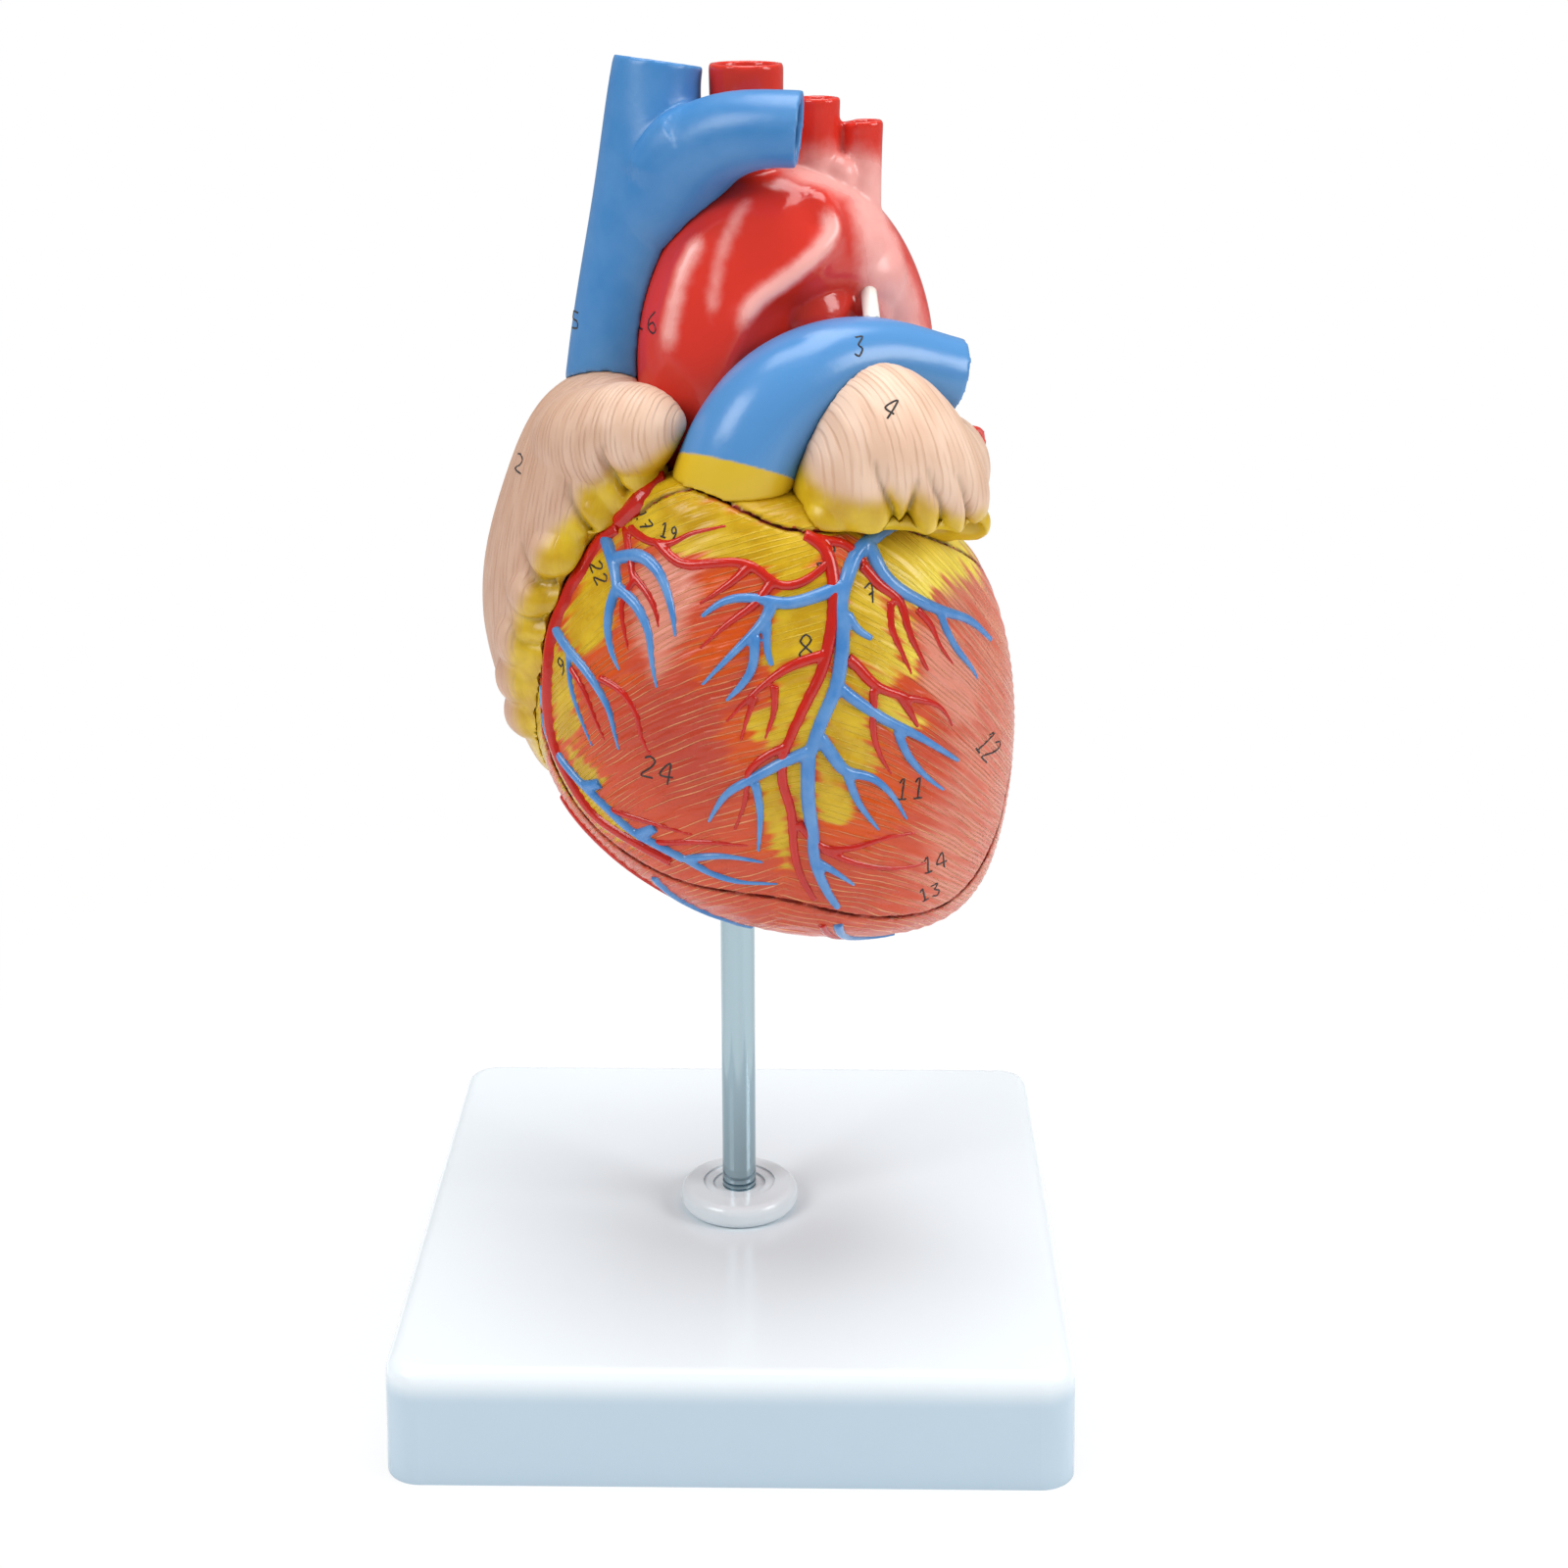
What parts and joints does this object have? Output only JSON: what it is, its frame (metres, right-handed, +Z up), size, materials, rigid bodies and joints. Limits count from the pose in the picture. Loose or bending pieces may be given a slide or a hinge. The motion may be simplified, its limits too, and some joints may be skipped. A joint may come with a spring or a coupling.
{
  "type": "human heart anatomy model",
  "caption": "Life-size teaching heart on a rod and square base. The heart turns and lifts off, and its front wall pulls off to show chambers and valves.",
  "frame": {"origin": "middle of the base's underside, on the rod's axis", "axes": "+Z up along the rod, -Y towards the viewer of the heart's front, +X to that viewer's right"},
  "size_m": [0.1514, 0.1514, 0.2955],
  "materials": {
    "base_plastic": "moulded, polished white",
    "rod_steel": "drawn and polished",
    "zinc_steel": "zinc plated",
    "socket_plastic": "plain",
    "muscle": "painted, brushed fibres, satin",
    "atrium_flesh": "painted, fine grooves, satin",
    "vein_blue": "painted, satin",
    "trunk_blue": "painted, satin",
    "artery_red": "painted, lacquered",
    "ligament_white": "painted",
    "valve_cream": "painted, satin",
    "magnet_nickel": "nickel plated",
    "coronary_red": "painted, glossy",
    "coronary_blue": "painted, glossy"
  },
  "bodies": {
    "stand": {"base_plate": "base_plastic"},
    "rod": {"support_rod": "rod_steel", "rod_collar": "base_plastic", "rod_washer": "zinc_steel", "rod_nut": "zinc_steel"},
    "heart": {"rod_socket": "socket_plastic", "rear_heart_wall": "muscle", "right_papillary_muscle": "muscle", "left_front_papillary_muscle": "muscle", "left_rear_papillary_muscle": "muscle", "right_atrium": "atrium_flesh", "left_atrium": "atrium_flesh", "left_auricle": "atrium_flesh", "superior_vena_cava": "vein_blue", "brachiocephalic_vein": "vein_blue", "inferior_vena_cava": "vein_blue", "pulmonary_trunk": "trunk_blue", "right_pulmonary_artery": "trunk_blue", "aorta": "artery_red", "brachiocephalic_trunk": "artery_red", "left_carotid_artery": "artery_red", "left_subclavian_artery": "artery_red", "left_upper_pulmonary_vein": "artery_red", "left_lower_pulmonary_vein": "artery_red", "right_upper_pulmonary_vein": "artery_red", "right_lower_pulmonary_vein": "artery_red", "arterial_ligament": "ligament_white", "tricuspid_valve": "valve_cream", "mitral_valve": "valve_cream", "aortic_valve": "valve_cream", "pulmonary_valve": "valve_cream", "right_cords": "valve_cream", "left_front_cords": "valve_cream", "left_rear_cords": "valve_cream", "rear_right_magnet": "magnet_nickel", "rear_middle_magnet": "magnet_nickel", "rear_lower_magnet": "magnet_nickel", "posterior_descending_artery": "coronary_red", "coronary_sinus": "coronary_blue", "middle_cardiac_vein": "coronary_blue"},
    "front_wall": {"front_heart_wall": "muscle", "front_right_magnet": "magnet_nickel", "front_middle_magnet": "magnet_nickel", "front_lower_magnet": "magnet_nickel", "right_coronary_artery": "coronary_red", "anterior_descending_artery": "coronary_red", "great_cardiac_vein": "coronary_blue", "anterior_cardiac_vein": "coronary_blue"}
  },
  "joints": [
    {"name": "rod_turn", "type": "hinge", "parent": "stand", "child": "rod", "pos_m": [0, 0, 0], "axis": [0, 0, 1], "continuous": true},
    {"name": "heart_lift", "type": "slide", "parent": "rod", "child": "heart", "axis": [0, 0, 1], "range_m": [0, 0.06]},
    {"name": "front_wall_pull", "type": "slide", "parent": "heart", "child": "front_wall", "axis": [0, -1, 0], "range_m": [0, 0.08]}
  ]
}
